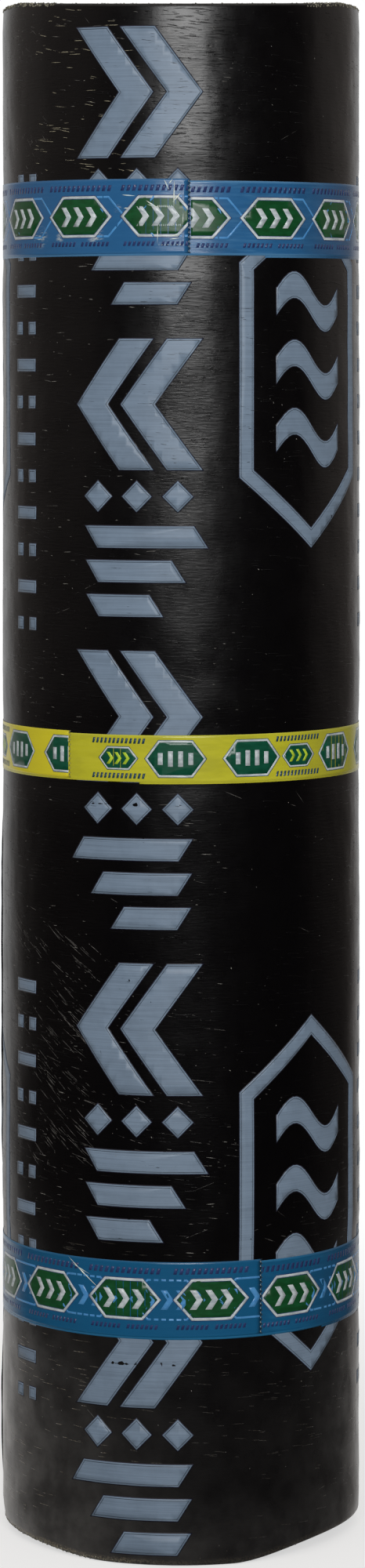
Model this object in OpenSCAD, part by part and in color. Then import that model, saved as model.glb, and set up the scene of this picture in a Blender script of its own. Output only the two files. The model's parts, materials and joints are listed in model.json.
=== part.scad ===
// A roll of bitumen membrane standing on end: one long sheet wound into a
// spiral round an open bore, and held shut by three bands of adhesive tape.
// Units are millimetres, +Z is up, and the origin is on the bore's axis at the
// end that the roll stands on. The roll is seen from -Y.

/* [Sheet] */
// Width of the sheet, which is the height of the standing roll
sheet_width = 1000; // [960:10:1200]
// Length of sheet in the roll, met to the nearest whole turn
sheet_length = 10000; // [6000:500:15000]
// Thickness of the sheet, which is the pitch of the turns
sheet_thickness = 4; // [3:0.2:6]
// Direction in which the sheet's free end lies, anticlockwise from +X
free_end_angle = 166; // [0:1:359]

/* [Bore] */
// Diameter of the open bore that the first turn is wound round
bore_diameter = 80; // [60:2:140]
// How far the sheet's inner end lies round from the line of the free end
inner_end_angle = 85; // [60:1:86]

/* [Ends of the turns] */
// Gap that shows between one turn and the next
turn_gap = 0.3; // [0.2:0.05:0.6]
// How far that gap runs in from each end of the roll
gap_depth = 6; // [3:0.5:12]
// Round on the edges of each turn at the ends
lip_round = 1.1; // [0.6:0.1:1.3]
// Round on the crushed outer edge at the top and bottom
edge_round = 3; // [1.5:0.1:6]

/* [Tapes] */
// Thickness of one wrap of tape
tape_thickness = 0.1; // [0.05:0.01:0.3]
// How far the second wrap of a tape strays along the roll from the first
wrap_drift = 2.5; // [0:0.1:6]
// Width of the upper tape
upper_tape_width = 48; // [24:0.5:75]
// Height of the upper tape's lower edge
upper_tape_z = 837; // [700:1:860]
// Direction in which the upper tape's outer end lies
upper_tape_end = 274; // [200:1:340]
// Width of the middle tape
middle_tape_width = 30; // [15:0.5:75]
// Height of the middle tape's lower edge
middle_tape_z = 500; // [400:1:600]
// Direction in which the middle tape's outer end lies
middle_tape_end = 234; // [200:1:340]
// Width of the lower tape
lower_tape_width = 48; // [24:0.5:75]
// Height of the lower tape's lower edge
lower_tape_z = 144; // [80:1:200]
// Direction in which the lower tape's outer end lies
lower_tape_end = 297; // [200:1:340]

/* [Hidden] */
$fn = 180;
// Straight runs that stand for a quarter circle in the turns' edges
arc_steps = 3;
// How far a cut runs past the solid that it cuts
over = 1;
// Part of the way round that the second wrap of a tape leaves bare
bare_angle = 24;

bore_radius = bore_diameter / 2;
// The sheet's length times its thickness is the area of the wound ring
turns = max(3, round(
    (sqrt(bore_radius^2 + sheet_length * sheet_thickness / PI) - bore_radius) / sheet_thickness));
outer_radius = bore_radius + turns * sheet_thickness;
lip = min(lip_round, (sheet_thickness - turn_gap) / 2.5);
corner = min(edge_round, sheet_thickness - turn_gap);

// The spiral is made of half turns. Those below the X axis are centred on the
// bore. Those above it have their centre and radius half a thickness less, so
// each meets its own turn on -X and the next turn in on +X. The outermost
// half turn has nothing to meet on +X, and its end there is the free end.
shift = sheet_thickness / 2;
upper_radius = outer_radius - shift;
// Inner face of the sheet where its innermost half turn has ended
inner_face_radius = bore_radius + shift;

// Points of an arc of radius r round the centre c
function arc(c, r, from, to) =
    [for (i = [0:arc_steps]) let (a = from + i * (to - from) / arc_steps) c + r * [cos(a), sin(a)]];

// Section of the crevice between two turns where it opens at the end z = 0: it
// is widest between the rounded lips and closes where the turns press together
module gap_section() {
    mouth = turn_gap / 2 + lip;
    polygon([
        [-mouth, -over], [-mouth, 0], [-turn_gap / 2, lip], [0, gap_depth],
        [turn_gap / 2, lip], [mouth, 0], [mouth, -over]]);
}

// Section of the wall of turns between two radii, with this many gaps open at
// both ends and the edges rounded
module wall_section(inner, outer, gaps) {
    difference() {
        polygon(concat(
            [[inner, 0]],
            arc([outer - corner, corner], corner, -90, 0),
            arc([outer - corner, sheet_width - corner], corner, 0, 90),
            [[inner, sheet_width]]));
        for (k = [1:gaps])
            translate([outer - k * sheet_thickness, 0]) {
                gap_section();
                translate([0, sheet_width]) mirror([0, 1]) gap_section();
            }
    }
}

// The bore as a cutter, with its two edges rounded as the turns' edges are
module bore_cutter() {
    rotate_extrude()
        polygon(concat(
            [[0, -over], [bore_radius + lip, -over]],
            arc([bore_radius + lip, lip], lip, -90, -180),
            arc([bore_radius + lip, sheet_width - lip], lip, 180, 90),
            [[bore_radius + lip, sheet_width + over], [0, sheet_width + over]]));
}

// The half turns below the X axis
module lower_half_turns() {
    rotate_extrude(start = 180, angle = 180) wall_section(bore_radius, outer_radius, turns - 1);
}

// The half turns above the X axis: the innermost stops at the inner end
module upper_half_turns() {
    translate([-shift, 0, 0])
        rotate_extrude(start = 0, angle = inner_end_angle)
            wall_section(inner_face_radius, upper_radius, turns - 2);
    difference() {
        translate([-shift, 0, 0])
            rotate_extrude(start = inner_end_angle, angle = 180 - inner_end_angle)
                wall_section(bore_radius - sheet_thickness, upper_radius, turns - 1);
        bore_cutter();
    }
}

module membrane_roll() {
    color("#1b1b1d")
        rotate([0, 0, free_end_angle]) {
            lower_half_turns();
            upper_half_turns();
        }
}

// Outline that a tape takes round the roll, standing off it by this much: it
// leaves the free end on a straight line and meets the turn below at a tangent
module taut_outline(off) {
    radius = upper_radius + off;
    step = [outer_radius + off, 0];
    tangent = acos(radius / (step.x + shift));
    intersection() {
        circle(outer_radius + off);
        translate([-2 * outer_radius, -4 * outer_radius]) square(4 * outer_radius);
    }
    intersection() {
        translate([-shift, 0]) circle(radius);
        translate([-2 * outer_radius, 0]) square(4 * outer_radius);
    }
    polygon([[-shift, 0], step, [-shift, 0] + radius * [cos(tangent), sin(tangent)]]);
}

// Section of one wrap of tape: wrap 1 lies on the sheet, and wrap 2 on wrap 1
module wrap_section(number) {
    difference() {
        taut_outline(number * tape_thickness);
        taut_outline((number - 1) * tape_thickness);
    }
}

// A band of tape wound twice round the roll from the height z, with the end of
// its second wrap in the direction end
module tape(width, z, end) {
    far = 2 * outer_radius;
    translate([0, 0, z])
        linear_extrude(width)
            rotate(free_end_angle) wrap_section(1);
    translate([0, 0, z + wrap_drift])
        linear_extrude(width)
            difference() {
                rotate(free_end_angle) wrap_section(2);
                rotate(end) polygon([[0, 0], [far, 0], [far, far * tan(bare_angle)]]);
            }
}

module upper_tape() {
    color("#2b6ca8") tape(upper_tape_width, upper_tape_z, upper_tape_end);
}

module middle_tape() {
    color("#d9d321") tape(middle_tape_width, middle_tape_z, middle_tape_end);
}

module lower_tape() {
    color("#2b6ca8") tape(lower_tape_width, lower_tape_z, lower_tape_end);
}

membrane_roll();
upper_tape();
middle_tape();
lower_tape();
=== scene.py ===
"""A roll of bitumen membrane, standing on end: one long sheet in its satin film, wound round an open
bore, printed in pale ink and held shut by three bands of printed packing tape."""

import json
import math
import random
from functools import partial

import bmesh
import bpy
import numpy as np
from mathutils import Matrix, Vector


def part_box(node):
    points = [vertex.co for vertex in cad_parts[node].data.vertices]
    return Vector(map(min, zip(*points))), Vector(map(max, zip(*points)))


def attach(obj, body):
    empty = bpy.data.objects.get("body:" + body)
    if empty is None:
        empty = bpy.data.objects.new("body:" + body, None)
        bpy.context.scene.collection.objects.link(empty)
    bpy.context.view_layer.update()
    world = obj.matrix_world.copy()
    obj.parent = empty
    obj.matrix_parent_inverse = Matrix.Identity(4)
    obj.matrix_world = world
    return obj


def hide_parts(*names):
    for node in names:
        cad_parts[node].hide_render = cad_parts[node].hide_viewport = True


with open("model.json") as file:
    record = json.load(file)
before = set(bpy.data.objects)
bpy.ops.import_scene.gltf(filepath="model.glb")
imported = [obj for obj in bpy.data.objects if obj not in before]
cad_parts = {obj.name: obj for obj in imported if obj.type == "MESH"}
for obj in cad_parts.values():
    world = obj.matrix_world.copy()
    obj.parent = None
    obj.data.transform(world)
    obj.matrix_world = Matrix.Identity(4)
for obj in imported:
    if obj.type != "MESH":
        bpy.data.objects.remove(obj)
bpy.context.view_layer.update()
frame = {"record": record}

# ---- Sizes, in metres, from the frame and from how the sheet is wound ----
MM = 0.001
TAU = math.tau
SHEET = 4 * MM  # thickness of the sheet, with the gap to the next turn
TURN_GAP = 0.3 * MM
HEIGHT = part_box("membrane_roll")[1].z
OUTER = round(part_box("membrane_roll")[1].x, 4)
BORE = next(m for m in frame["record"]["mounts"] if m["name"] == "bore")["dims"]["r_mm"] * MM
TURNS = round((OUTER - BORE) / SHEET)
FREE_END = math.radians(166)  # where the sheet's outer end lies, anticlockwise from +X
INNER_END = TAU * TURNS - math.radians(85)  # angle wound up between the two ends
FRONT = math.radians(-90)

TAPE = 0.1 * MM  # thickness of one wrap of tape
TAPE_CLEAR = 0.12 * MM  # from the film to the tape's glue
TAPE_BARE = math.radians(24)  # part of the way round where only one wrap lies
TAPE_DRIFT = 2.5 * MM  # how far the second wrap strays up from the first
TOOTH, TOOTH_DEPTH = 3 * MM, 1.8 * MM  # of the cutter that ended the tapes
BANDS = {name: tuple(corner.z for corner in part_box(name)) for name in
         ("upper_tape", "middle_tape", "lower_tape")}
LAPS = {"upper_tape": 274, "middle_tape": 234, "lower_tape": 297}  # where each tape ends, in degrees

AROUND = TAU * OUTER / MM  # the roll's girth in millimetres
PRINT_PITCH = 300  # once round the printing roller, in the flat prints' millimetres
PRINT_LIMITS = ((-215, 535), (3, 997))
# How far over the tape the ink of each layer begins and ends, in millimetres
INK_LEVELS = {"ghosts": (0.005, 0.03), "badges": (0.01, 0.045), "hatching": (0.01, 0.045),
              "outlines": (0.02, 0.055), "silver": (0.03, 0.065), "lime": (0.03, 0.065)}

BORE_SHOWN = 90 * MM  # how far down the bore stones are laid
TOP_RISE = 5 * MM  # how far the sides and back of the top edge stand over its front
FOOT_RISES = [((0.94, -0.34, 0), 11 * MM), ((-0.97, -0.24, 0), 5 * MM)]  # where the foot has ridden up
FOOT_TUCK = 1.4 * MM  # how far the foot's left corner is pressed in


def film_radius(wind):
    """Radius of the film where it has been followed inwards from the free end through this angle.
    It falls by one thickness in the second half of each turn, a circle centred half of one away."""
    turn, within = divmod(wind, TAU)
    fall = SHEET / 2 * (1 + math.cos(within)) if within > math.pi else 0
    return OUTER - SHEET * turn - fall


def polar(radius, angle, height=0.0):
    """The place at this distance and angle from the roll's axis."""
    return radius * math.cos(angle), radius * math.sin(angle), height


def on_roll(x, height):
    """The place on the roll of a flat place, in millimetres round from the front and up."""
    return polar(OUTER, FRONT + x * MM / OUTER, height * MM)


def taut_radius(angle, off):
    """Radius of a tape pulled tight over the film and standing off it: it leaves the free end on a
    straight line that meets the turn below at a tangent."""
    low, reach = OUTER - SHEET / 2 + off, OUTER + SHEET / 2 + off
    lean = math.acos(low / reach)
    past = (angle - FREE_END) % TAU
    line = (low - SHEET / 2 * math.cos(lean)) / math.cos(past - lean) if past < lean else 0
    return max(line, film_radius((FREE_END - angle) % TAU) + off)


# ---- Small makers of nodes, trees, meshes and pieces ----
# Kinds of node, some with a setting of their own
MATH, VECTOR, RANGE, MIX = "ShaderNodeMath", "ShaderNodeVectorMath", "ShaderNodeMapRange", "ShaderNodeMix"
XYZ, PARTS, READ = "ShaderNodeCombineXYZ", "ShaderNodeSeparateXYZ", "ShaderNodeAttribute"
TIMES = (MATH, {"operation": "MULTIPLY"})
EASED = (RANGE, {"interpolation_type": "SMOOTHSTEP"})  # inputs, as RANGE's: value, from a, b, to c, d
HUES = (MIX, {"data_type": "RGBA"})  # its inputs 6 and 7 are the colours
NOISE = ("ShaderNodeTexNoise", {"noise_dimensions": "4D"})  # inputs: place, seed, scale, detail, roughness
NAMED = ("GeometryNodeInputNamedAttribute", {"data_type": "FLOAT"})
RANDOM = ("FunctionNodeRandomValue", {"data_type": "FLOAT"})
INSIDE, BUMP = "GeometryNodeObjectInfo", "ShaderNodeBump"


def connect(node, inputs):
    """Sets inputs by name or number, or a tuple of the first ones: a socket or a node's first live
    output is linked, a hex code is a colour, and anything else is the value."""
    for key, value in inputs.items() if isinstance(inputs, dict) else enumerate(inputs):
        if isinstance(value, bpy.types.Node):
            value = next(socket for socket in value.outputs if socket.enabled)
        if isinstance(value, bpy.types.NodeSocket):
            node.id_data.links.new(value, node.inputs[key])
        else:
            is_hex = isinstance(value, str) and value.startswith("#")
            node.inputs[key].default_value = colour(value) if is_hex else value
    return node


def add(tree, kind, inputs=(), operation=None, **settings):
    """Adds a node with its settings and links. A kind is its type, or that with a setting."""
    kind, own = kind if isinstance(kind, tuple) else (kind, {})
    node = tree.nodes.new(kind)
    if operation:
        node.operation = operation
    for name, value in (own | settings).items():
        setattr(node, name, value)
    return connect(node, inputs)


def colour(code):
    """Linear RGBA of an sRGB hex code."""
    parts = [int(code[i:i + 2], 16) / 255 for i in (1, 3, 5)]
    return tuple(c / 12.92 if c <= 0.04045 else ((c + 0.055) / 1.055) ** 2.4 for c in parts) + (1.0,)


def new_material(name, base, roughness, ior=1.5):
    """A material, the maker of its nodes, its Principled shader and its Object coordinates."""
    material = bpy.data.materials.new(name)
    material.use_nodes = True
    node = partial(add, material.node_tree)
    shader = material.node_tree.nodes["Principled BSDF"]
    connect(shader, {"Base Color": base, "Roughness": roughness, "IOR": ior})
    return material, node, shader, node("ShaderNodeTexCoord").outputs["Object"]


def new_tree(name, sockets):
    """A Geometry Nodes tree with these named inputs: returns it, the maker of its nodes, and the
    sockets of its input and output."""
    tree = bpy.data.node_groups.new(name, "GeometryNodeTree")
    for label, kind, way in [("Geometry", "Geometry", "INPUT"), ("Geometry", "Geometry", "OUTPUT"),
                             *((label, kind, "INPUT") for label, kind in sockets.items())]:
        tree.interface.new_socket(label, in_out=way, socket_type="NodeSocket" + kind)
    given = tree.nodes.new("NodeGroupInput").outputs
    return tree, partial(add, tree), given, tree.nodes.new("NodeGroupOutput")


def end_tree(node, geometry, given, result):
    """Ends a tree with its geometry made real and in the material it was given."""
    real = node("GeometryNodeRealizeInstances", (geometry,))
    connect(result, (node("GeometryNodeSetMaterial", {"Geometry": real, "Material": given["Finish"]}),))


def grow(obj, tree, values):
    """Runs a tree on an object and keeps the result as its plain mesh."""
    modifier = obj.modifiers.new(tree.name, "NODES")
    modifier.node_group = tree
    ids = {s.name: s.identifier for s in tree.interface.items_tree
           if s.item_type == "SOCKET" and s.in_out == "INPUT"}
    for name, value in values.items():
        modifier[ids[name]] = value
    bpy.context.view_layer.update()
    evaluated = obj.evaluated_get(bpy.context.evaluated_depsgraph_get())
    mesh = bpy.data.meshes.new_from_object(evaluated)
    obj.modifiers.remove(modifier)
    old, obj.data = obj.data, mesh
    mesh.name = obj.name
    bpy.data.meshes.remove(old)
    return obj


def new_object(name, data):
    """An object at the origin, in the scene."""
    obj = bpy.data.objects.new(name, data)
    bpy.context.scene.collection.objects.link(obj)
    return obj


def mesh_object(name, points=(), edges=(), faces=(), **attributes):
    """A mesh object at the origin. Attributes hold a number, or a vector, for each point."""
    mesh = bpy.data.meshes.new(name)
    mesh.from_pydata([tuple(p) for p in points], edges, faces)
    for label, values in attributes.items():
        values = np.asarray(values, dtype=float)
        kind, field = ("FLOAT", "value") if values.ndim == 1 else ("FLOAT_VECTOR", "vector")
        mesh.attributes.new(label, kind, "POINT").data.foreach_set(field, values.ravel())
    return new_object(name, mesh)


def face_outwards(obj):
    """Turns the faces of a closed mesh outwards."""
    bm = bmesh.new()
    bm.from_mesh(obj.data)
    bmesh.ops.recalc_face_normals(bm, faces=bm.faces[:])
    bm.to_mesh(obj.data)
    bm.free()
    return obj


def finish_piece(obj, material=None):
    """Gives a piece its material and smooth shading, and lets it ride on the roll."""
    if material is not None:
        obj.data.materials.clear()
        obj.data.materials.append(material)
    obj.data.shade_smooth()
    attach(obj, "root")
    return obj


# ---- Materials ----
def stretched_noise(node, place, along, up, detail, roughness, seed):
    """Noise with this many cells a metre along the floor, and up the roll."""
    cells = node(VECTOR, (place, (along, along, up)), "MULTIPLY")
    return node(NOISE, (cells, seed, 1, detail, roughness))


def film_over_bitumen():
    """Polyethylene film laid hot on black bitumen: a near-black satin that shows every ripple, with
    dust at the foot. The cut edge is duller bitumen, and the inner face is rolled-in mineral."""
    material, node, shader, place = new_material("film_over_bitumen", "#050405", 0.28)
    depth = node(READ, attribute_name="depth").outputs["Fac"]
    cut = node(EASED, (depth, 0.05, 0.14))
    stony = node(EASED, (depth, 0.66, 0.78))
    x, _, height = node(PARTS, (place,)).outputs
    # dust in patches of 20 mm that thin out over the lowest 200 mm, most of it on the left
    patches = node(NOISE, (place, 3, 45, 4, 0.6))
    patchy = node(EASED, (patches, 0.25, 0.8, 0.35, 1.0))
    low = node(EASED, (height, 0.2, 0.0, 0.0, 0.1))
    side = node(EASED, (x, 0.02, -0.1, 0.15, 1.0))
    low = node(TIMES, (low, side))
    low = node(MATH, (low, node(EASED, (height, 0.05, 0.0, 0.0, 0.03))))
    dust = node(TIMES, (low, patchy))
    dusty = node(HUES, {0: dust, 6: "#050405", 7: "#b1afab"})
    speckle = node(NOISE, (place, 8, 900, 2, 0.6))
    grain = node(EASED, (speckle, 0.35, 0.68))
    # dirt and crushed stone have stuck to the lowest 4 mm of the film, on the left
    near_foot = node(EASED, (height, 0.26, 0.1))
    rim = node(READ, attribute_name="rim").outputs["Fac"]
    rim = node(MATH, (patches, 4 * MM, rim), "MULTIPLY_ADD")
    soiled = node(EASED, (rim, 7 * MM, 4.5 * MM, 0.0, 0.75))
    for share in (side, near_foot, grain):
        soiled = node(TIMES, (soiled, share))
    dusty = node(HUES, {0: soiled, 6: dusty, 7: "#7d7462"})
    bitumen = node(HUES, {0: grain, 6: "#131210", 7: "#302d28"})
    mineral = node(HUES, {0: grain, 6: "#4a483d", 7: "#878371"})
    core = node(HUES, {0: stony, 6: bitumen, 7: mineral})
    tone = node(HUES, {0: cut, 6: dusty, 7: core})
    uneven = node(NOISE, (place, 5, 60, 3, 0.6))
    satin = node(RANGE, (uneven, 0.3, 0.7, 0.24, 0.32))
    satin = node(MATH, (dust, 2.0, satin), "MULTIPLY_ADD")
    rough = node(MIX, {0: cut, 2: satin, 3: 0.85})
    # ripples of the film 9 mm long and 1.2 mm apart, and an orange peel of 2.5 mm
    ripple = stretched_noise(node, place, 110, 830, detail=3, roughness=0.55, seed=11)
    peel = node(NOISE, (place, 13, 400, 2))
    relief = node(MIX, {0: 0.3, 2: ripple, 3: peel})
    coarse = node(TIMES, (speckle, 3.0))
    relief = node(MIX, {0: cut, 2: relief, 3: coarse})
    normal = node(BUMP, {"Height": relief, "Distance": 0.14 * MM})
    # the film is clearest near the middle of the roll, and the dust near the foot glows at its limbs
    gloss = node(EASED, (height, 0.4, 0.75, 0.25, 0.5))
    leftmost = node(EASED, (x, 0.09, -0.06, 0.4, 1.0))
    fuzz = node(TIMES, (near_foot, leftmost))
    fuzz = node(TIMES, (fuzz, patchy))
    connect(shader, {"Base Color": tone, "Roughness": rough, "Normal": normal, "Specular IOR Level": gloss,
                     "Sheen Weight": fuzz, "Sheen Roughness": 0.4, "Sheen Tint": "#d6d5d3"})
    return material


def roller_ink(name, light, dark):
    """Ink that a printing roller laid on the film: an even satin coat with the roller's fine lines
    running round the roll, 0.7 mm apart, over a slow mottle."""
    material, node, shader, place = new_material(name, light, 0.45)
    lines = stretched_noise(node, place, 22, 1400, detail=2, roughness=0.5, seed=21)
    mottle = node(NOISE, (place, 23, 55, 3, 0.65))
    lined = node(EASED, (lines, 0.35, 0.7, 0.0, 0.55))
    mottled = node(EASED, (mottle, 0.35, 0.75, 0.0, 0.45))
    share = node(MATH, (lined, mottled))
    tone = node(HUES, {0: share, 6: light, 7: dark})
    normal = node(BUMP, {"Height": lines, "Distance": 0.05 * MM})
    connect(shader, {"Base Color": tone, "Normal": normal})
    return material


def packing_tape(name, base, pale, deep, fresh, scuffs):
    """Glossy polypropylene packing tape, coloured on its underside: clouded in streaks along it
    where the glue has let go, whitened where it was rubbed, pale at its uncoloured margins, pale
    at its cut end where cutting whitened it and a painted highlight stands for the light its edge
    catches, and darker towards the roll's right with painted shade. Fresh is the tone of its outer
    end. Scuffs are places on the roll with their reach."""
    material, node, shader, place = new_material(name, base, 0.24)
    across = node(READ, attribute_name="across").outputs["Fac"]
    streaks = stretched_noise(node, place, 45, 450, detail=4, roughness=0.6, seed=61)
    clouds = stretched_noise(node, place, 33, 110, detail=3, roughness=0.6, seed=63)
    from_middle = node(MATH, (across, 0.5), "SUBTRACT")
    from_middle = node(MATH, (from_middle,), "ABSOLUTE")
    run = node(READ, attribute_name="run").outputs["Fac"]
    # X of each place, for the painted shade that darkens the tape towards the roll's right
    right = node(PARTS, (place,)).outputs[0]
    rubbed = 0.0
    for x, height, reach in scuffs:
        away = node(VECTOR, (place, on_roll(x, height)), "DISTANCE").outputs["Value"]
        near = node(EASED, (away, reach * MM, reach * MM / 5))
        rubbed = node(MATH, (near, rubbed), "MAXIMUM")
    torn = stretched_noise(node, place, 140, 620, detail=4, roughness=0.7, seed=67)
    rubbed = node(TIMES, (rubbed, node(EASED, (torn, 0.47, 0.6))))
    tone, whitened = base, "#c9cfc4"
    for share, hue in [(node(EASED, (streaks, 0.42, 0.78, 0.0, 0.5)), pale),
                       (node(EASED, (clouds, 0.4, 0.7, 0.0, 0.55)), deep),
                       (node(EASED, (from_middle, 0.465, 0.48, 0.0, 0.6)), pale),  # the margins
                       (node(RANGE, (run, 0.86, 0.9, 0.0, 0.8)), fresh),
                       # the cut end: whitened by the cut, and partly a painted highlight for the light its
                       # edge catches
                       (node(RANGE, (run, 0.9995, 1.0, 0.0, 0.7)), whitened),  # the cut end
                       # painted shade: the tape darker towards the roll's right
                       (node(EASED, (right, 0.06, 0.11, 0.0, 0.8)), deep),
                       (node(TIMES, (rubbed, 0.75)), whitened)]:
        tone = node(HUES, {0: share, 6: tone, 7: hue})
    rough = node(RANGE, (rubbed, 0.0, 1.0, 0.24, 0.55))
    normal = node(BUMP, {"Height": streaks, "Distance": 0.12 * MM})
    connect(shader, {"Base Color": tone, "Roughness": rough, "Normal": normal})
    return material


def tape_ink(name, light, dark, roughness=0.28):
    """Ink on the inner side of a glossy tape, seen through it and so slightly uneven."""
    material, node, shader, place = new_material(name, light, roughness)
    mottle = stretched_noise(node, place, 110, 330, detail=4, roughness=0.65, seed=71)
    share = node(EASED, (mottle, 0.38, 0.68))
    tone = node(HUES, {0: share, 6: light, 7: dark})
    normal = node(BUMP, {"Height": mottle, "Distance": 0.06 * MM})
    connect(shader, {"Base Color": tone, "Normal": normal})
    return material


def scuffs_and_painted_glints(name, light, dark):
    """Plastic that was scratched or stretched past its limit: a dull whitened line. Also pale marks
    that are painted glints, where wrinkles in the film catch the light.
    """
    material, node, shader, place = new_material(name, light, 0.5)
    broken = node(NOISE, (place, 31, 300, 3, 0.6))
    share = node(EASED, (broken, 0.35, 0.65))
    connect(shader, {"Base Color": node(HUES, {0: share, 6: light, 7: dark})})
    return material


def crushed_mineral():
    """Crushed slate granules: dull olive greys, each stone in its own tone."""
    material, node, shader, place = new_material("crushed_mineral", "#6d6a59", 0.8)
    own = node(READ, attribute_name="tone").outputs["Fac"]
    grain = node(NOISE, (place, 81, 2500, 2, 0.6))
    stone = node(HUES, {0: own, 6: "#3a3931", 7: "#8f8b78"})
    share = node(EASED, (grain, 0.3, 0.7, 0.0, 0.4))
    connect(shader, {"Base Color": node(HUES, {0: share, 6: stone, 7: "#57544a"})})
    return material


# ---- The wound sheet ----
def sheet_line(name, first, last, steps):
    """The line of the film on the floor between two winds. Each point keeps its wind."""
    winds = np.linspace(first, last, steps)
    points = [polar(film_radius(w), FREE_END - w) for w in winds]
    return mesh_object(name, points, [(i, i + 1) for i in range(steps - 1)], wind=winds)


def sheet_section(name, edge, lip, side_steps):
    """The sheet's section as a closed line: its depth from the film along X, and its height along
    Y. The film's edges have the radius edge, and the inner edges the radius lip."""
    back = SHEET - TURN_GAP
    quarter, short = np.linspace(0, math.pi / 2, 5), np.linspace(0, math.pi / 2, 4)
    loop = [(0, edge + (HEIGHT - 2 * edge) * i / side_steps) for i in range(1, side_steps)]
    loop += [(edge - edge * math.cos(a), HEIGHT - edge + edge * math.sin(a)) for a in quarter]
    loop += [(back - lip + lip * math.sin(a), HEIGHT - lip + lip * math.cos(a)) for a in short]
    loop.append((back, HEIGHT - BORE_SHOWN))
    loop += [(back - lip + lip * math.cos(a), lip - lip * math.sin(a)) for a in short]
    loop += [(edge - edge * math.sin(a), edge - edge * math.cos(a)) for a in quarter]
    edges = [(i - 1, i) for i in range(1, len(loop))] + [(len(loop) - 1, 0)]
    # drawn upside down, because a sweep that runs clockwise turns the section's Y down
    return mesh_object(name, [(x, -y, 0) for x, y in loop], edges, section=[(x, y, 0) for x, y in loop])


def winding_tree():
    """Sweeps the sheet's section along its line, then gives the film its slack between the tapes,
    the edges of the turns their stray, and the free end its spring."""
    tree, node, given, result = new_tree("wound_sheet", {
        "Section": "Object", "Slack": "Float", "Stray": "Float", "Lift": "Float", "Finish": "Material"})
    section = node(INSIDE, {"Object": given["Section"]}).outputs["Geometry"]
    section = node("GeometryNodeMeshToCurve", (section,))
    line = node("GeometryNodeMeshToCurve", (given["Geometry"],))
    swept = node("GeometryNodeCurveToMesh", {"Curve": line, "Profile Curve": section, "Fill Caps": True})

    wind = node(NAMED, {"Name": "wind"})
    depth, height, _ = node(PARTS, (node(NAMED, {"Name": "section"}, data_type="FLOAT_VECTOR"),)).outputs
    spot = node("GeometryNodeInputPosition")
    level = node(VECTOR, (spot, (1, 1, 0)), "MULTIPLY")
    outwards = node(VECTOR, (level,), "NORMALIZE")

    # distance up or down to the nearest tape or end, within which the film is held
    nearest = 1.0
    for low, high in (*BANDS.values(), (-1, 0), (HEIGHT, HEIGHT + 1)):
        away = node(MATH, (height, (low + high) / 2), "SUBTRACT")
        away = node(MATH, (away,), "ABSOLUTE")
        away = node(MATH, (away, (high - low) / 2), "SUBTRACT")
        nearest = node(MATH, (away, nearest), "MINIMUM")

    # the film is slack where nothing holds it, save where the outer turn covers the next
    sway = node(NOISE, {"Vector": spot, "Scale": 9, "Detail": 2, "Lacunarity": 4, "W": 41})
    slack = node(EASED, (sway, 0.28, 0.72, 0.0, given["Slack"]))
    free = node(EASED, (nearest, 1 * MM, 15 * MM))
    slack = node(TIMES, (slack, free))
    uncovered = node(EASED, (wind, TAU, TAU - 0.5))
    slack = node(TIMES, (slack, uncovered))

    # the free end springs open below the middle tape
    lift = node(EASED, (wind, 0.45, 0.0, 0.0, given["Lift"]))
    parted = node(EASED, (nearest, 0.0, 60 * MM))
    lift = node(TIMES, (lift, parted))
    lift = node(TIMES, (lift, node(EASED, (height, 0.56, 0.5))))
    bulge = node(MATH, (slack, lift))

    # each turn's edges stray inwards from the ends of the roll, the outermost least
    ragged = node(NOISE, (spot, 47, 170, 3, 0.6))
    along = node(XYZ, (wind,))
    wander = node(NOISE, (along, 49, 0.8, 2))
    stray = node(MATH, (wander, 1.6, ragged), "MULTIPLY_ADD")
    loose = node(EASED, (wind, 0.8 * TAU, 1.4 * TAU, 0.3, 1.0))
    stray = node(TIMES, (stray, loose))
    stray = node(TIMES, (stray, given["Stray"]))
    # the top edge stands higher at the sides and back than in front
    facing = node(PARTS, (outwards,)).outputs[1]
    stand = node(RANGE, (facing, -1.0, -0.45, 0.0, TOP_RISE))
    near_top = node(EASED, (height, HEIGHT - 60 * MM, HEIGHT))
    climb = node(MATH, (stand, stray), "SUBTRACT")
    climb = node(TIMES, (climb, near_top))
    # at the foot the outer turns have ridden up on both sides, most of all on the right
    rise = node(TIMES, (stray, 0.35))
    outer_most = node(RANGE, (wind, 12 * TAU, 0.0))
    for direction, most in FOOT_RISES:
        side = node(VECTOR, (outwards, direction), "DOT_PRODUCT").outputs["Value"]
        side = node(EASED, (side, 0.6, 1.05, 0.0, most))
        rise = node(MATH, (side, outer_most, rise), "MULTIPLY_ADD")
    near_foot = node(EASED, (height, 60 * MM, 0.0))
    climb = node(MATH, (rise, near_foot, climb), "MULTIPLY_ADD")
    shift = node(XYZ, {2: climb})
    tuck = node(EASED, (height, 16 * MM, 0.0, 0.0, FOOT_TUCK))
    left = node(EASED, (node(PARTS, (outwards,)).outputs[0], -0.3, -0.9))
    tuck = node(TIMES, (tuck, left))
    bulge = node(MATH, (bulge, tuck), "SUBTRACT")

    depth = node(MATH, (depth, SHEET - TURN_GAP), "DIVIDE")
    rim = node(MATH, (height, node(MATH, (HEIGHT, height), "SUBTRACT")), "MINIMUM")
    for name, value in (("depth", depth), ("rim", rim)):
        swept = node("GeometryNodeStoreNamedAttribute", {"Geometry": swept, "Name": name, "Value": value},
                     data_type="FLOAT", domain="POINT")
    offset = node(VECTOR, (outwards, bulge, shift), "MULTIPLY_ADD")
    swept = node("GeometryNodeSetPosition", {"Geometry": swept, "Offset": offset})
    end_tree(node, swept, given, result)
    return tree


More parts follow.
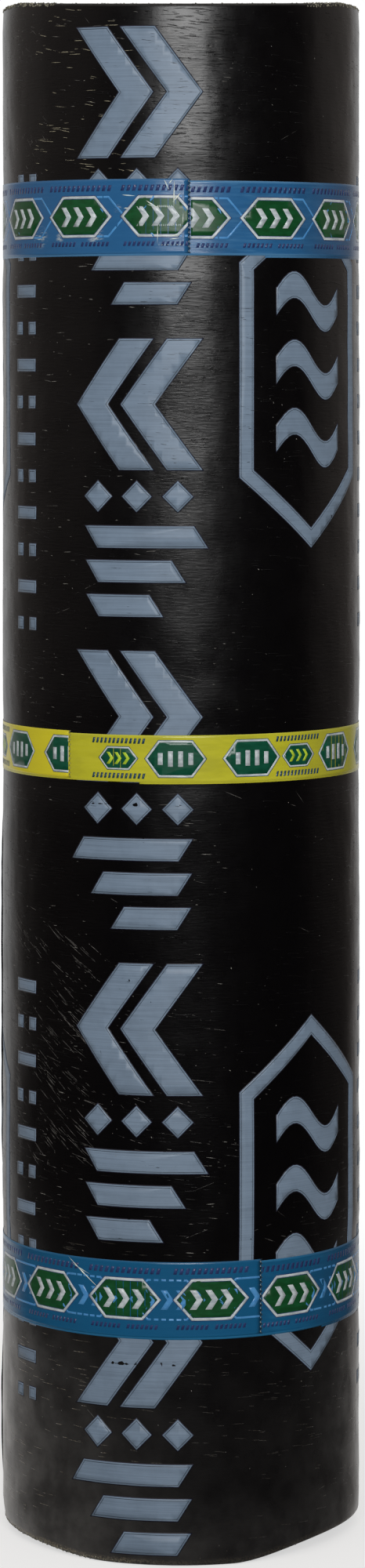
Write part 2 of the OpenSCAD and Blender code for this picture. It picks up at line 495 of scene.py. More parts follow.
def wound_sheet(film):
    """The whole sheet: its outermost turn in fine steps, and the turns inside it in coarser ones."""
    tree = winding_tree()
    common = {"Stray": 1.1 * MM, "Finish": film}
    fine = sheet_section("fine_section", 2.4 * MM, 1.0 * MM, 150)
    outer = grow(sheet_line("wound_membrane", 0, TAU, 321), tree,
                 common | {"Section": fine, "Slack": 0.9 * MM, "Lift": 1.7 * MM})
    coarse = sheet_section("coarse_section", 1.0 * MM, 1.0 * MM, 1)
    inner = grow(sheet_line("inner_turns", TAU, INNER_END, 72 * (TURNS - 1)), tree,
                 common | {"Section": coarse, "Slack": 0.0, "Lift": 0.0})
    bm = bmesh.new()
    for part in (outer, inner):
        bm.from_mesh(part.data)
    bm.to_mesh(outer.data)
    bm.free()
    for used in (fine, coarse, inner):
        bpy.data.objects.remove(used)
    finish_piece(face_outwards(outer))
    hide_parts("membrane_roll")
    return outer


# ---- Tapes ----
def tape_band(tape, material, waver, seed):
    """A closed shell for the whole length of a tape. It starts under itself, climbs onto its own
    start after a full turn, strays upwards, and ends in the teeth of the cutter."""
    low, high = BANDS[tape]
    width = high - low - TAPE_DRIFT
    start, total = math.radians(LAPS[tape]) + TAPE_BARE, 2 * TAU - TAPE_BARE
    # columns fall on the kinks at the sheet's free end, on the climb, and near the cut end
    reach = math.acos((OUTER - SHEET / 2) / (OUTER + SHEET / 2))
    kinks = [(FREE_END + past - start) % TAU + TAU * lap for past in (0, reach) for lap in (0, 1)]
    climb = 1.5 * MM / OUTER
    kinks += [TAU - climb, TAU + climb, total - 0.8 * MM / OUTER]
    turned = np.union1d(np.linspace(0, total, 300), [k for k in kinks if k < total])
    across = np.linspace(0, 1, 2 * round(width / TOOTH) + 1)
    rng = random.Random(seed)
    swings = [(rng.uniform(0.6, 2.4), rng.uniform(0, TAU)) for _ in range(3)]
    points, shares, runs = [], [], []
    for face in (0, 1):
        for t in turned:
            climbed = np.interp(t, (TAU - climb, TAU + climb), (0, 1))
            sway = waver * sum(math.sin((start + t) * pace + phase) for pace, phase in swings)
            for k, share in enumerate(across):
                back = TOOTH_DEPTH / OUTER if t == total and k % 2 else 0
                angle = start + t - back
                radius = taut_radius(angle, TAPE_CLEAR + TAPE * (climbed + face))
                height = low + TAPE_DRIFT * t / total + width * share + sway * (2 * share - 1)
                points.append(polar(radius, angle, height))
                shares.append(share)
                runs.append(t / total)
    rows, columns = len(across), len(turned)
    side = rows * columns
    faces = []
    for i in range(columns - 1):
        for j in range(rows - 1):
            a, b = i * rows + j, (i + 1) * rows + j
            faces += [(a, a + 1, b + 1, b), (side + a, side + b, side + b + 1, side + a + 1)]
    rim = [i * rows for i in range(columns)] + [side - rows + j for j in range(1, rows)]
    rim += [i * rows + rows - 1 for i in range(columns - 2, -1, -1)] + list(range(rows - 2, 0, -1))
    faces += [(a, b, side + b, side + a) for a, b in zip(rim, rim[1:] + rim[:1])]
    obj = mesh_object(tape + "_band", points, faces=faces, across=shares, run=runs)
    finish_piece(face_outwards(obj), material)
    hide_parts(tape)
    return obj


# ---- Flat shapes, in millimetres: X runs round the roll from the front, and Y is the height ----
def moved(shape, x, y, flip=1):
    """A shape moved, and turned over from left to right if flip is -1. A shape is an outline
    that runs anticlockwise, or a pair of them of which the second is the hole."""
    if isinstance(shape, tuple):
        return tuple(moved(loop, x, y, flip) for loop in shape)
    return [(px * flip + x, py + y) for px, py in shape][::flip]


def lozenge(w, h):
    return [(0, -h / 2), (w / 2, 0), (0, h / 2), (-w / 2, 0)]


def bar(w, h, slant=0):
    """An upright bar if it is taller than wide. Its top lies this far to the right of its foot."""
    return [(-(w + slant) / 2, -h / 2), ((w - slant) / 2, -h / 2),
            ((w + slant) / 2, h / 2), ((slant - w) / 2, h / 2)]


def chevron(w, h, stroke):
    """Points to the right. The stroke is measured along X."""
    tail, inner = -w / 2, w / 2 - stroke
    return [(tail, -h / 2), (tail + stroke, -h / 2), (w / 2, 0),
            (tail + stroke, h / 2), (tail, h / 2), (inner, 0)]


def hexagon(w, h, shoulder):
    """Its two points lie at the ends of its longer side."""
    if w > h:
        return [(-w / 2, 0), (shoulder - w / 2, -h / 2), (w / 2 - shoulder, -h / 2), (w / 2, 0),
                (w / 2 - shoulder, h / 2), (shoulder - w / 2, h / 2)]
    return [(0, -h / 2), (w / 2, shoulder - h / 2), (w / 2, h / 2 - shoulder), (0, h / 2),
            (-w / 2, h / 2 - shoulder), (-w / 2, shoulder - h / 2)]


def wave(w, stroke, swing, steps=18):
    """A band that swings up and down once."""
    line = [(w * (i / steps - 0.5), swing * math.sin(TAU * i / steps)) for i in range(steps + 1)]
    return [(x, y - stroke / 2) for x, y in line] + [(x, y + stroke / 2) for x, y in reversed(line)]


def inset(loop, by):
    """An outline moved inwards by a distance, with mitred corners."""
    inner = []
    for k, here in enumerate(loop):
        before, here, after = Vector(loop[k - 1]), Vector(here), Vector(loop[(k + 1) % len(loop)])
        a, b = (here - before).normalized(), (after - here).normalized()
        inner.append(tuple(here + (a + b).orthogonal() * (by / max(0.3, 1 + a.dot(b)))))
    return inner


def ring(loop, line):
    """The line of this width just inside an outline."""
    return loop, inset(loop, line)


def stroke(x0, y0, x1, y1, line):
    """A thin line between two places, with pointed ends."""
    start, end = Vector((x0, y0)), Vector((x1, y1))
    middle, side = (start + end) / 2, (end - start).orthogonal().normalized() * line / 2
    return [tuple(place) for place in (start, middle - side, end, middle + side)]


def hatching(x, y, length, high, pitch):
    """A row of small leaning strokes."""
    count = round(length / pitch)
    leaning = bar(pitch * 0.56, high, pitch * 0.3)
    return [moved(leaning, x + pitch * (k - (count - 1) / 2), y) for k in range(count)]


def grown(shape, by):
    """A shape with its edges moved outwards."""
    if isinstance(shape, tuple):
        return inset(shape[0], -by), inset(shape[1], by)
    return inset(shape, -by)


def contours(shape, start, line):
    """Lines of this width that run just inside a shape's edges."""
    if isinstance(shape, tuple):
        return [ring(inset(shape[0], start), line), ring(inset(shape[1], -start - line), line)]
    return [ring(inset(shape, start), line)]


def cut_to_cells(shape, limits, cell):
    """A shape as a flat mesh, cut to the limits (x0, x1), (y0, y1) and into cells of this size."""
    bm = bmesh.new()
    if isinstance(shape, tuple):
        outer, inner = [[bm.verts.new((x, y, 0)) for x, y in loop] for loop in shape]
        for k in range(len(outer)):
            bm.faces.new((outer[k - 1], outer[k], inner[k], inner[k - 1]))
    else:
        bm.faces.new([bm.verts.new((x, y, 0)) for x, y in shape])
    bm.normal_update()
    bmesh.ops.triangulate(bm, faces=bm.faces[:], ngon_method="EAR_CLIP")
    for axis, bounds, step in zip((0, 1), limits, cell):
        way = Vector((1 - axis, axis, 0))
        for edge, outside in zip(bounds, (-1, 1)):
            bmesh.ops.bisect_plane(bm, geom=bm.verts[:] + bm.edges[:] + bm.faces[:],
                                   plane_co=way * edge, plane_no=way * outside, clear_outer=True)
        reach = [v.co[axis] for v in bm.verts] or [0]
        for k in range(math.ceil(min(reach) / step + 0.02), math.floor(max(reach) / step - 0.02) + 1):
            bmesh.ops.bisect_plane(bm, geom=bm.verts[:] + bm.edges[:] + bm.faces[:],
                                   plane_co=way * k * step, plane_no=way)
    bmesh.ops.remove_doubles(bm, verts=bm.verts[:], dist=0.002)
    bmesh.ops.dissolve_degenerate(bm, edges=bm.edges[:], dist=0.002)
    return bm


def flat_print(name, shapes, low, high, limits, cell=(5, 7)):
    """Closed shells of these shapes between two heights over the surface, in millimetres."""
    points, faces = [], []
    for shape in shapes:
        bm = cut_to_cells(shape, limits, cell)
        bm.verts.index_update()
        base, count = len(points), len(bm.verts)
        points += [(v.co.x * MM, v.co.y * MM, level * MM) for level in (low, high) for v in bm.verts]
        for face in bm.faces:
            ids = [base + v.index for v in face.verts]
            faces += [ids[::-1], [i + count for i in ids]]
        for edge in bm.edges:
            if edge.is_boundary:
                loop = edge.link_loops[0]
                a, b = base + loop.vert.index, base + loop.link_loop_next.vert.index
                faces.append((a, b, b + count, a + count))
        bm.free()
    return mesh_object(name, points, faces=faces)


# ---- Laying flat pieces on the roll, and scattering marks over it ----
def wrap_onto(node, geometry, target):
    """Adds the nodes that wrap flat geometry round the roll: X becomes the way round from the front,
    Y the height, and Z the distance off the surface that a ray towards the axis meets there."""
    surface = node(INSIDE, {"Object": target}).outputs["Geometry"]
    along, height, lift = node(PARTS, (node("GeometryNodeInputPosition"),)).outputs
    angle = node(MATH, (along, 1 / OUTER, FRONT), "MULTIPLY_ADD")
    outwards = node(XYZ, (node(MATH, (angle,), "COSINE"), node(MATH, (angle,), "SINE")))
    axis = node(XYZ, {2: height})
    source = node(VECTOR, (outwards, (2 * OUTER,) * 3, axis), "MULTIPLY_ADD")
    inwards = node(VECTOR, (outwards, (-1, -1, -1)), "MULTIPLY")
    ray = node("GeometryNodeRaycast", {"Target Geometry": surface, "Source Position": source,
                                       "Ray Direction": inwards, "Ray Length": 1.5 * OUTER})
    place = node(VECTOR, (outwards, lift, ray.outputs["Hit Position"]), "MULTIPLY_ADD")
    return node("GeometryNodeSetPosition", {"Geometry": geometry, "Position": place})


def laying_tree():
    """Lays a flat piece on the roll."""
    tree, node, given, result = new_tree("laid_on_roll", {"Target": "Object", "Finish": "Material"})
    end_tree(node, wrap_onto(node, given["Geometry"], given["Target"]), given, result)
    return tree


def scattering_tree():
    """Scatters copies of a mark, which is drawn one metre long, wide and high, over a part of the
    flat surface, thins them out in clumps and at the tapes, and lays them on the roll."""
    tree, node, given, result = new_tree("scattered_marks", {
        "Mark": "Object", "Target": "Object", "Finish": "Material", "Count": "Int", "Seed": "Int",
        "Low": "Vector", "High": "Vector", "Shortest": "Float", "Longest": "Float", "Rarity": "Float",
        "Width": "Float", "Height": "Float", "Lean": "Float", "Lean Spread": "Float", "Clumping": "Float"})
    seeds = [node(MATH, (given["Seed"], k)) for k in range(5)]
    place = node(RANDOM, {0: given["Low"], 1: given["High"], 8: seeds[0]}, data_type="FLOAT_VECTOR")
    points = node("GeometryNodePoints", {"Count": given["Count"], "Position": place})
    spot = node("GeometryNodeInputPosition")
    clumps = node(NOISE, (spot, seeds[0], 14, 2, 0.6))
    bare = node(MATH, (clumps, given["Clumping"]), "LESS_THAN")
    height = node(PARTS, (spot,)).outputs[1]
    for low, high in BANDS.values():
        inside = node(MATH, (height, (low + high) / 2, (high - low) / 2 + 3 * MM), "COMPARE")
        bare = node(MATH, (bare, inside), "MAXIMUM")
    points = node("GeometryNodeDeleteGeometry", {"Geometry": points, "Selection": bare}, domain="POINT")
    chance = node(RANDOM, {8: seeds[1]})
    share = node(MATH, (chance, given["Rarity"]), "POWER")
    length = node(MIX, {0: share, 2: given["Shortest"], 3: given["Longest"]})
    wider = node(RANDOM, {2: 0.6, 3: 1.3, 8: seeds[2]})
    higher = node(RANDOM, {2: 0.4, 3: 1.2, 8: seeds[3]})
    width, height = node(TIMES, (wider, given["Width"])), node(TIMES, (higher, given["Height"]))
    size = node(XYZ, (length, width, height))
    tilt = node(RANDOM, {2: -1.0, 3: 1.0, 8: seeds[4]})
    lean = node(MATH, (tilt, given["Lean Spread"], given["Lean"]), "MULTIPLY_ADD")
    mark = node(INSIDE, {"Object": given["Mark"]}).outputs["Geometry"]
    marks = node("GeometryNodeInstanceOnPoints", {
        "Points": points, "Instance": mark, "Scale": size, "Rotation": node(XYZ, {2: lean})})
    # the points of each mark are bent round the roll, so the marks are made real first
    marks = node("GeometryNodeRealizeInstances", (marks,))
    end_tree(node, wrap_onto(node, marks, given["Target"]), given, result)
    return tree


def ridge(name, stations):
    """A low ridge, one metre long, wide and high, with pointed ends and its foot below the surface."""
    points, faces = [(-0.5, 0, 0), (0.5, 0, 0)], []
    for i in range(1, stations):
        swell = math.sin(math.pi * i / stations) ** 0.6
        x = i / stations - 0.5
        points += [(x, -swell / 2, -0.2), (x, swell / 2, -0.2), (x, 0, swell)]
    rings = [[2 + 3 * k + j for j in range(3)] for k in range(stations - 1)]
    for a, b in zip(rings, rings[1:]):
        faces += [(a[j - 1], b[j - 1], b[j], a[j]) for j in range(3)]
    faces += [(0, rings[0][j - 1], rings[0][j]) for j in range(3)]
    faces += [(1, rings[-1][j], rings[-1][j - 1]) for j in range(3)]
    return face_outwards(mesh_object(name, points, faces=faces))


def lay(flat, target, material):
    """Lays a flat piece on the target and finishes it."""
    return finish_piece(grow(flat, laying, {"Target": target, "Finish": material}))


def scatter(name, mark, target, material, region, sizes, lean, **settings):
    """A finished piece of marks scattered over the region (x0, x1, y0, y1), in millimetres. The sizes
    are the shortest and longest, the width and the height, in millimetres, and the lean is in degrees."""
    x0, x1, y0, y1 = [edge * MM for edge in region]
    shortest, longest, width, height = [size * MM for size in sizes]
    values = {"Mark": mark, "Target": target, "Finish": material, "Low": (x0, y0, 0.0), "High": (x1, y1, 0.0),
              "Shortest": shortest, "Longest": longest, "Width": width, "Height": height,
              "Lean": math.radians(lean[0]), "Lean Spread": math.radians(lean[1])}
    return finish_piece(grow(mesh_object(name), scattering, values | settings))


# ---- The prints ----
def film_shapes():
    """The film's pattern: wide columns of chevrons, lozenges and bars, thin columns of dashes, and
    long rings round three waves. It repeats every turn of the printing roller."""
    shapes = []
    for repeat in range(3):
        x = PRINT_PITCH * repeat
        for unit in range(5):
            top, flip = 990 - 200 * unit, (-1) ** unit
            centre = x - 27
            for k in (-1, 1):
                shapes.append(moved(chevron(54, 84, 23), centre + flip * 16 * k, top - 47, flip))
            for k in (-1, 0, 1):
                shapes.append(moved(lozenge(20, 20), centre + 27 * k, top - 106))
            for k, length in enumerate((74, 59, 44)):
                slanted = bar(length, 14, 9)
                shapes.append(moved(slanted, centre + flip * (7 * k - 5), top - 132 - 22 * k, flip))
        for low, high in ((100, 400), (600, 930)):
            for k in range((high - low) // 24):
                if k % 2:
                    shapes.append(moved(bar(24, 8), x - 121, low + 24 * k))
                else:
                    shapes += [moved(bar(8, 8), x - 121 + side, low + 24 * k) for side in (-8, 8)]
        # the ring on the left of a repeat is the one on the right of the last
        for ring_x in (x - 204, x + 96) if repeat == 0 else (x + 96,):
            for height in (233, 765):
                shapes.append(moved(ring(hexagon(111, 230, 46), 9.8), ring_x, height))
                for k in (-1, 0, 1):
                    shapes.append(moved(wave(58, 17, 11), ring_x, height + 44 * k))
    return shapes


def film_prints(film):
    """The film's ink, with the fringe where it spread and the dark line that its stamp left."""
    shapes = film_shapes()
    fringe = roller_ink("violet_ink_fringe", "#16142a", "#0d0c18")
    ink = roller_ink("slate_blue_ink", "#6b7d90", "#5a6a7b")
    line = roller_ink("dark_contour_ink", "#36424f", "#2a343f")
    spread = [grown(shape, 0.55) for shape in shapes]
    stamped = [contour for shape in shapes for contour in contours(shape, 0.9, 0.35)]
    for name, layer, low, high, material in [("film_print_fringe", spread, 0.0, 0.07, fringe),
                                             ("film_print", shapes, 0.03, 0.12, ink),
                                             ("film_print_contours", stamped, 0.08, 0.15, line)]:
        lay(flat_print(name, layer, low, high, PRINT_LIMITS), film, material)


def tape_print(tape, band, layers, places):
    """Lays one layer of print on a tape for each name, from the tape's end all the way round. The
    shapes of a layer are drawn once round each of its places and follow the tape as it strays."""
    low, high = [edge / MM for edge in BANDS[tape]]
    lap = OUTER / MM * (math.radians(LAPS[tape]) - TAU - FRONT)
    limits = ((lap + 0.1, lap + AROUND - 1.9), (low + 0.4, high - 0.4))
    for name, (shapes, material) in layers.items():
        placed = []
        for place in places:
            stray = TAPE_DRIFT / MM / 2 * (place - lap) / AROUND
            placed += [moved(shape, place, (low + high) / 2 + stray) for shape in shapes]
        lay(flat_print(f"{tape}_{name}", placed, *INK_LEVELS[name], limits), band, material)


def blue_tape_prints(tape, band, first, pitch, ghost_shift, finishes):
    """Green badges in silver frames, each between two rows of hatching, and the faint badges of the
    wrap below, which show through this much further on."""
    badge = hexagon(50, 26.5, 12)
    chevrons = [moved(chevron(8.5, 12.5, 4.2), side, 0) for side in (-10, 0, 10)]
    ghosts = [moved(shape, ghost_shift, 0) for shape in (ring(badge, 1.3), *chevrons)]
    layers = {
        "ghosts": (ghosts, finishes["ghost"]),
        "badges": ([inset(badge, 0.4)], finishes["green"]),
        "outlines": ([ring(grown(badge, 0.45), 0.6), ring(inset(badge, 1.5), 0.45)], finishes["navy"]),
        "silver": ([ring(badge, 1.6), *chevrons], finishes["silver"]),
        "hatching": ([*hatching(0, 18.2, 51, 3.8, 3.9), *hatching(-12.6, -17.6, 22, 2.9, 3.1),
                      *hatching(12.6, -17.6, 22, 2.9, 3.1)], finishes["navy"])}
    tape_print(tape, band, layers, np.arange(first, first + AROUND + pitch, pitch))


def yellow_tape_prints(tape, band, first, finishes):
    """Large badges in pairs with silver bars, and small ones between two rows of hatching."""
    large, small = hexagon(40, 23.5, 9), hexagon(27, 14.5, 6)
    bars = [moved(bar(3.2, 11 - abs(side) / 3), side, 0) for side in (-9.9, -3.3, 3.3, 9.9)]
    chevrons = [moved(chevron(5, 7.6, 2.3), side, 0) for side in (-5.6, 0, 5.6)]

    pair, pitch = (38.3, 89.3), 125  # from a small badge to the two large ones, and to the next small one
    layers = {
        "badges": ([inset(large, 0.4)], [inset(small, 0.3)], "green"),
        "outlines": ([ring(grown(large, 0.4), 0.6)], [ring(grown(small, 0.4), 0.6)], "slate"),
        "silver": ([ring(large, 1.3), *bars], [ring(small, 0.9)], "silver"),
        "lime": ([], chevrons, "lime"),
        "hatching": ([], [*hatching(0, 11.2, 37, 3.4, 2.9), *hatching(0, -11.2, 37, 3.4, 2.9)], "slate")}
    layers = {name: ([moved(shape, x, 0) for x in pair for shape in on_large] + on_small, finishes[finish])
              for name, (on_large, on_small, finish) in layers.items()}
    tape_print(tape, band, layers, np.arange(first, first + AROUND + pitch, pitch))


def tape_wear(upper, lower):
    """Where the upper tape was nicked and creased beside its end, and the fold in the lower one."""
    rng = random.Random(5)
    teeth = []
    for x0, x1, y in ((-13.1, -3.6, 869.7), (-11.7, 1.8, 857.7)):
        for x in np.linspace(x0, x1, 12):
            teeth.append(stroke(x, y - 0.9, x + rng.uniform(-0.3, 0.3), y + 0.9, 0.5))
    creases = [(-13.3, 845.7, -13.0, 858.7, 0.5), (-2.6, 868.7, -2.2, 886.7, 0.9),
               (-21, 873.7, -11.8, 867.7, 1.1), (-20, 871, -14, 869.4, 0.6), (-3.6, 872, 2.4, 879, 0.8),
               (-9, 887, -5.5, 880, 0.9), (-5.8, 884, -3.4, 887.2, 0.9), (-4.2, 850.5, 3.0, 852.6, 1.3),
               (-6, 848.6, 1.2, 849.3, 0.7), (3.1, 858, 3.6, 866, 0.5), (-37, 877.2, -28, 876.4, 0.9),
               (-36, 868.5, -32.6, 868.8, 0.6)]
    creases += [(x, 845 + rng.uniform(-0.4, 0.4), x + 1.3, 845.2, 0.4) for x in np.linspace(-13, 3, 9)]
    white = scuffs_and_painted_glints("whitened_tape", "#d3d8c8", "#9fb4bd")
    folds = [(-77.7, 194, -53.8, 176, 0.9), (-75, 190, -60, 184, 0.5)]
    everywhere = ((-380, 380), (0, 1000))
    for name, shapes, band in [("upper_tape_nicks", teeth, upper),
                               ("upper_tape_creases", [stroke(*crease) for crease in creases], upper),
                               ("lower_tape_fold", [stroke(*fold) for fold in folds], lower)]:
        lay(flat_print(name, shapes, 0.03, 0.09, everywhere, (3, 3)), band, white)


def film_marks(film, sheet):
    """The wrinkles, cracks, scratches and specks of the film, and pale painted glints on its left
    where wrinkles catch the light.
    """
    fold = ridge("fold", 4)
    left, right = -213, 533  # all the way round
    around = (left, right, 3, 997)
    pale = scuffs_and_painted_glints("whitened_film", "#8d8c86", "#4a4945")
    # pale specks of dust, and painted glints where wrinkles on the left catch the light
    dull = scuffs_and_painted_glints("scraped_film", "#5e5c59", "#32312f")
    # painted glints: cream marks at the top left that stand for wrinkles catching the light
    painted_glint = scuffs_and_painted_glints("stretched_film", "#b9b298", "#807b69")
    for name, finish, region, sizes, lean, count, clumping, rarity in [
            ("film_wrinkles", film, (left, right, 140, 997), (3, 18, 0.6, 0.12), (-3, 5), 8000, 0.46, 1.8),
            ("foot_wrinkles", film, (left, right, 15, 140), (3, 16, 0.5, 0.07), (-3, 4), 900, 0.46, 1.8),
            ("upper_wrinkles", film, (-22, 48, 690, 998), (3, 16, 0.6, 0.17), (-3, 7), 900, 0.3, 1.8),
            ("film_cracks", film, around, (30, 85, 0.5, 0.13), (-3, 5), 40, 0.4, 1.0),
            ("long_crack", film, (-20, -19, 950, 951), (84, 86, 0.6, 0.13), (0, 1), 1, 0.0, 1.0),
            # painted glints: pale marks over the left half where wrinkles catch the light
            ("whitened_wrinkles", pale, (left, 40, 160, 997), (1.5, 9, 0.3, 0.06), (-3, 6), 1100, 0.5, 3.0),
            # painted glints at the top left: pale dashes where wrinkles catch the light, painted as colour
            ("pale_dashes", painted_glint, (-108, -28, 888, 998), (3, 15, 0.28, 0.05), (-7, 9), 95, 0.4, 1.4),
            ("limb_scuffs", dull, (-170, -98, 875, 998), (2, 9, 0.3, 0.05), (-20, 60), 150, 0.4, 1.5),
            ("film_specks", pale, around, (0.4, 1.5, 0.5, 0.1), (0, 180), 1000, 0.42, 3.0),
            ("steep_scratches", dull, (-150, -60, 250, 405), (12, 42, 0.4, 0.05), (-35, 6), 240, 0.42, 1.5),
            ("low_scratches", dull, (-110, 60, 240, 360), (15, 65, 0.35, 0.05), (-12, 5), 70, 0.4, 1.5),
            ("stray_scratches", dull, around, (4, 40, 0.3, 0.05), (-10, 40), 260, 0.42, 2.0)]:
        scatter(name, fold, sheet, finish, region, sizes, lean,
                Count=count, Seed=len(name), Clumping=clumping, Rarity=rarity)
    bpy.data.objects.remove(fold)


# ---- Granules ----
def granule_tree():
    """Strews stones over those faces of the sheet that lie within these limits of height, of distance
    from the nearer rim, of wind, of depth from the film and of reach towards one side. Each stone
    keeps a tone of its own."""
    tree, node, given, result = new_tree("strewn_granules", {
        "Sheet": "Object", "Stone": "Object", "Finish": "Material", "Density": "Float", "Seed": "Int",
        "Low": "Float", "High": "Float", "Most Rim": "Float", "First Wind": "Float", "Last Wind": "Float",
        "Least Depth": "Float", "Side": "Vector", "Least Reach": "Float",
        "Smallest": "Float", "Largest": "Float"})
    sheet = node(INSIDE, {"Object": given["Sheet"]}).outputs["Geometry"]
    depth, wind, rim = [node(NAMED, {"Name": name}) for name in ("depth", "wind", "rim")]
    spot = node("GeometryNodeInputPosition")
    height = node(PARTS, (spot,)).outputs[2]
    reach = node(VECTOR, (spot, given["Side"]), "DOT_PRODUCT").outputs["Value"]
    unwanted = 0.0
    for value, limit, test in [
            (height, "Low", "LESS_THAN"), (height, "High", "GREATER_THAN"), (rim, "Most Rim", "GREATER_THAN"),
            (wind, "First Wind", "LESS_THAN"), (wind, "Last Wind", "GREATER_THAN"),
            (depth, "Least Depth", "LESS_THAN"), (reach, "Least Reach", "LESS_THAN")]:
        past = node(MATH, (value, given[limit]), test)
        unwanted = node(MATH, (past, unwanted), "MAXIMUM")
    shown = node("GeometryNodeDeleteGeometry", {"Geometry": sheet, "Selection": unwanted}, domain="FACE")
    points = node("GeometryNodeDistributePointsOnFaces", {
        "Mesh": shown, "Density": given["Density"], "Seed": given["Seed"]})
    stone = node(INSIDE, {"Object": given["Stone"]}).outputs["Geometry"]
    turned = node(RANDOM, {0: (0, 0, 0), 1: (TAU, TAU, TAU), 8: 1}, data_type="FLOAT_VECTOR")
    across = node(RANDOM, {2: given["Smallest"], 3: given["Largest"], 8: 2})
    stones = node("GeometryNodeInstanceOnPoints", {
        "Points": points, "Instance": stone, "Rotation": turned, "Scale": across})
    own = node(RANDOM, {2: 0.0, 3: 1.0, 8: 3})
    stones = node("GeometryNodeStoreNamedAttribute", {"Geometry": stones, "Name": "tone", "Value": own},
                  data_type="FLOAT", domain="INSTANCE")
    end_tree(node, stones, given, result)
    return tree


def granules(sheet):
    """Granules where the sheet's inner face shows, at both ends of the roll and in its bore, and the
    loose ones on the outer turn: along the top's sides and back, and along the foot's left."""
    rng = random.Random(12)
    stone = mesh_object("stone")
    bm = bmesh.new()
    bmesh.ops.create_cube(bm, size=0.75)
    for vert in bm.verts:
        vert.co *= rng.uniform(0.7, 1.2)
    bm.to_mesh(stone.data)
    bm.free()
    tree, finish = granule_tree(), crushed_mineral()
    inner = {"Most Rim": HEIGHT, "First Wind": 0.0, "Last Wind": INNER_END, "Least Depth": 0.75,
             "Least Reach": -1.0, "Smallest": 0.5 * MM, "Largest": 1.15 * MM}
    loose = {"First Wind": 0.0, "Last Wind": TAU, "Least Depth": -1.0, "Smallest": 0.5 * MM}
    behind = {"Most Rim": 2.0 * MM, "Side": (0.0, 1.0, 0.0), "Least Reach": -0.085, "Largest": 1.5 * MM}
    left = {"Most Rim": 2.2 * MM, "Side": (-1.0, 0.0, 0.0), "Least Reach": 0.03, "Largest": 1.1 * MM}
    bore = inner | {"First Wind": INNER_END - TAU}
    above = 1.1 * HEIGHT  # past all that stands over the top
    for name, density, low, high, limits in [
            ("top_granules", 4e5, HEIGHT - 4 * MM, above, inner),
            ("bore_granules", 2.4e5, HEIGHT - 60 * MM, HEIGHT - 10 * MM, bore),
            ("foot_granules", 2e5, 0.9 * MM, 20 * MM, inner),
            ("rim_granules", 4e5, HEIGHT - 1.2 * MM, above, loose | behind),
            ("foot_crumbs", 4e5, 0.9 * MM, 20 * MM, loose | left)]:
        piece = grow(mesh_object(name), tree, limits | {
            "Sheet": sheet, "Stone": stone, "Finish": finish, "Density": density, "Seed": len(name),
            "Low": low, "High": high})
        finish_piece(piece)
        piece.data.shade_flat()
    bpy.data.objects.remove(stone)


# ---- Floor, lights and camera ----
def seen_directly(node):
    """A node that tells rays from the camera, also through clear things, from all others."""
    path = node("ShaderNodeLightPath").outputs
    return node(MATH, (path["Is Camera Ray"], path["Is Transmission Ray"]), "MAXIMUM")


def floor():
    """A wide pale floor that keeps the roll's shadow, and fades to plain white where the camera
    looks past the roll. Reflections don't show it."""
    radius, corners = 9.0, 64
    rim = [polar(radius, angle) for angle in np.linspace(0, TAU, corners, endpoint=False)]
    obj = mesh_object("floor", rim, faces=[range(corners)])
    material, node, shader, place = new_material("pale_floor", "#f4f3f1", 0.9)
    connect(shader, {"Specular IOR Level": 0.1})
    away = node(VECTOR, (place,), "LENGTH").outputs["Value"]
    far = node(EASED, (away, 0.2, 1.2, 0.6, 1.0))
    path = node("ShaderNodeLightPath").outputs
    seen = node(MATH, (seen_directly(node), path["Is Glossy Ray"]), "MAXIMUM")
    white = node("ShaderNodeEmission", {"Color": "#ffffff", "Strength": 1.0})
    share = node(TIMES, (far, seen))
    both = node("ShaderNodeMixShader", (share, shader.outputs[0], white))
    connect(material.node_tree.nodes["Material Output"], {"Surface": both})
    obj.data.materials.append(material)
    obj.visible_glossy = False


def surroundings():
    """White where the camera looks, an even glow on the object, and for glossy rays a white wall
    behind the roll, a dim glow beside it, a weak fill on the left and a dark room round the rest."""
    world = bpy.data.worlds.new("studio")
    bpy.context.scene.world = world
    world.use_nodes = True
    world.node_tree.nodes.clear()
    node = partial(add, world.node_tree)
    path = node("ShaderNodeLightPath").outputs
    towards = node("ShaderNodeTexCoord").outputs["Generated"]
    flat = node(VECTOR, (towards, (1, 1, 0)), "MULTIPLY")
    x, y, _ = node(PARTS, (node(VECTOR, (flat,), "NORMALIZE"),)).outputs
    z = node(PARTS, (towards,)).outputs[2]
    # the wall reaches further round on the left, most of all below the roll's middle
    lean = node(RANGE, (z, 0.05, -0.2, 0.04, 0.18))
    behind = node(TIMES, (x, lean))
    behind = node(MATH, (y, behind), "SUBTRACT")
    wall = node(EASED, (behind, 0.62, 0.94, 0.0, 0.7))
    ceiling = node(EASED, (z, 0.6, 0.9, 0.0, 0.8))
    fill = node(EASED, (x, -0.6, -0.95, 0.01, 0.2))
    beside = node(EASED, (y, -0.15, 0.25, 0.0, 0.27))
    fill = node(MATH, (fill, beside), "MAXIMUM")
    fading = node(EASED, (z, -0.2, 0.08, 0.12, 1.0))
    fill = node(TIMES, (fill, fading))
    glossy = node(MATH, (wall, ceiling), "MAXIMUM")
    glossy = node(MATH, (glossy, fill), "MAXIMUM")
    glow = node(MIX, {0: path["Is Glossy Ray"], 2: 0.45, 3: glossy})
    seen = seen_directly(node)
    strength = node(MIX, {0: seen, 2: glow, 3: 1.0})
    warmth = node(RANGE, (node(MATH, (seen, strength), "MAXIMUM"), 0.15, 0.7))
    tint = node(HUES, {0: warmth, 6: "#fff0e6", 7: "#ffffff"})
    light = node("ShaderNodeBackground", {"Color": tint, "Strength": strength})
    node("ShaderNodeOutputWorld", {"Surface": light})


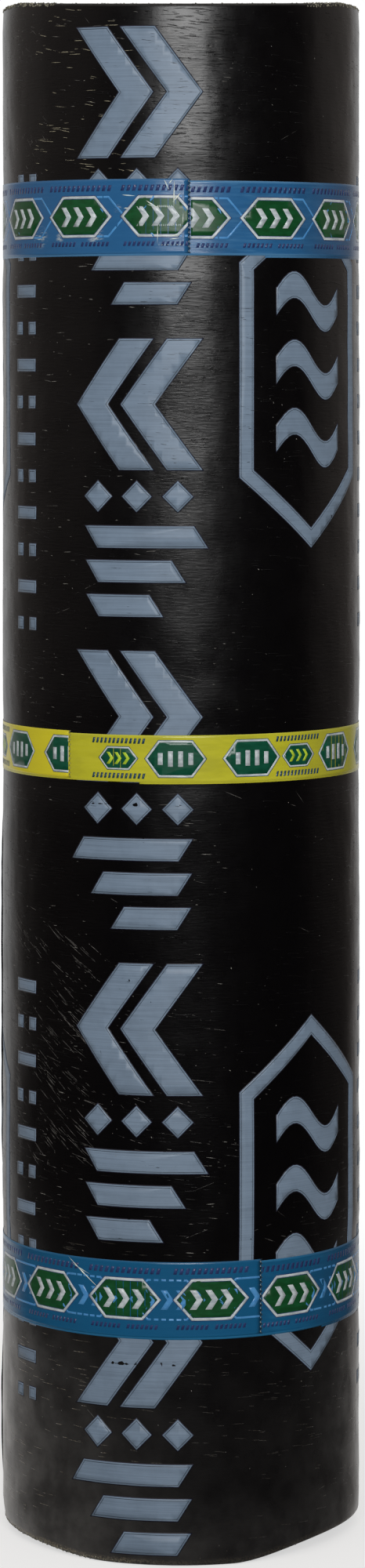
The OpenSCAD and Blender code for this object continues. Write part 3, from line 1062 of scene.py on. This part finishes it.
def softbox(name, place, aim, size, radiance):
    """A soft rectangular lamp that the camera doesn't see."""
    data = bpy.data.lights.new(name, "AREA")
    data.shape = "RECTANGLE"
    data.size, data.size_y = size
    data.energy = radiance * math.pi * size[0] * size[1]
    lamp = new_object(name, data)
    lamp.location = place
    lamp.rotation_euler = (Vector(aim) - Vector(place)).to_track_quat("-Z", "Y").to_euler()
    lamp.visible_camera = False


def camera():
    """Level camera a little below the roll's top, with its frame shifted down to the floor."""
    data = bpy.data.cameras.new("camera")
    data.lens = 106
    data.sensor_width = 36
    data.shift_y = -0.275
    obj = new_object("camera", data)
    obj.location = (0.003, -3.07, 0.776)
    obj.rotation_euler = (math.radians(90), 0, 0)
    bpy.context.scene.camera = obj


laying, scattering = laying_tree(), scattering_tree()
film = film_over_bitumen()
sheet = wound_sheet(film)
film_prints(sheet)
film_marks(film, sheet)
granules(sheet)
scuffs = [(-103.7, 851, 9), (-56, 851.5, 8), (-85, 850, 5), (-40, 868, 4)]
blue = packing_tape("blue_packing_tape", "#205480", "#48799f", "#164266", "#205480", scuffs)
yellow = packing_tape("yellow_packing_tape", "#a9a722", "#b5b232", "#918f22", "#c6bb20", [])
sea_blue = packing_tape("sea_blue_packing_tape", "#074c72", "#25688f", "#083f60", "#074c72", [])
upper = tape_band("upper_tape", blue, waver=0.12 * MM, seed=0)
middle = tape_band("middle_tape", yellow, waver=0.1 * MM, seed=1)
lower = tape_band("lower_tape", sea_blue, waver=0.15 * MM, seed=2)
inks = {"green": tape_ink("green_tape_ink", "#0a3d1c", "#0d4a26"),
        "silver": tape_ink("silver_tape_ink", "#b4bdc0", "#8f9aa0"),
        "navy": tape_ink("navy_tape_ink", "#22305c", "#2d3c6a"),
        "ghost": tape_ink("ink_of_the_wrap_below", "#4584b8", "#3876ad")}
blue_tape_prints("upper_tape", upper, 9.8, 56.25, 10, inks)
blue_tape_prints("lower_tape", lower, 80, 58, 29, inks)
yellow_tape_prints("middle_tape", middle, -39.8, {
    "green": tape_ink("bottle_green_tape_ink", "#00402c", "#064a36"), "silver": inks["silver"],
    "slate": tape_ink("slate_tape_ink", "#1d3a4a", "#24444e"),
    "lime": tape_ink("lime_tape_ink", "#a9c32a", "#93ae28")})
tape_wear(upper, lower)
floor()
surroundings()
softbox("key_softbox", (0.16, -3.0, 1.8), (0.16, 0, 1.8), (1.5, 1.6), 9)
camera()
bpy.context.scene.view_settings.view_transform = "Standard"
